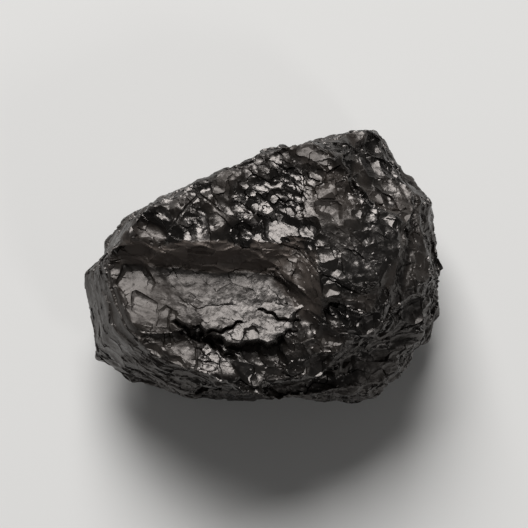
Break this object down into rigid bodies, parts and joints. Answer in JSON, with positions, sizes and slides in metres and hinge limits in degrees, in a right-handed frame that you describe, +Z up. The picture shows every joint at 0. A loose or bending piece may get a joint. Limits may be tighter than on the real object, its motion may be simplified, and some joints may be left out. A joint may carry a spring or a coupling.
{
  "type": "calcined anthracite lump",
  "caption": "Angular black lump of calcined anthracite with a hackly crown, a smooth stepped bench and bedded walls, lying on its flat parting face.",
  "frame": {"origin": "middle of the lump's bounding box in plan, on the flat face that it lies on", "axes": "+Z up from the rest face, +X along the lump's length towards its blunt end"},
  "size_m": [0.0164, 0.013, 0.0093],
  "materials": {
    "calcined_carbon": "near-black carbon, dull on worn faces and glinting like dark metal on fresh ones"
  },
  "bodies": {
    "root": {"anthracite_lump": "calcined_carbon"}
  },
  "joints": []
}
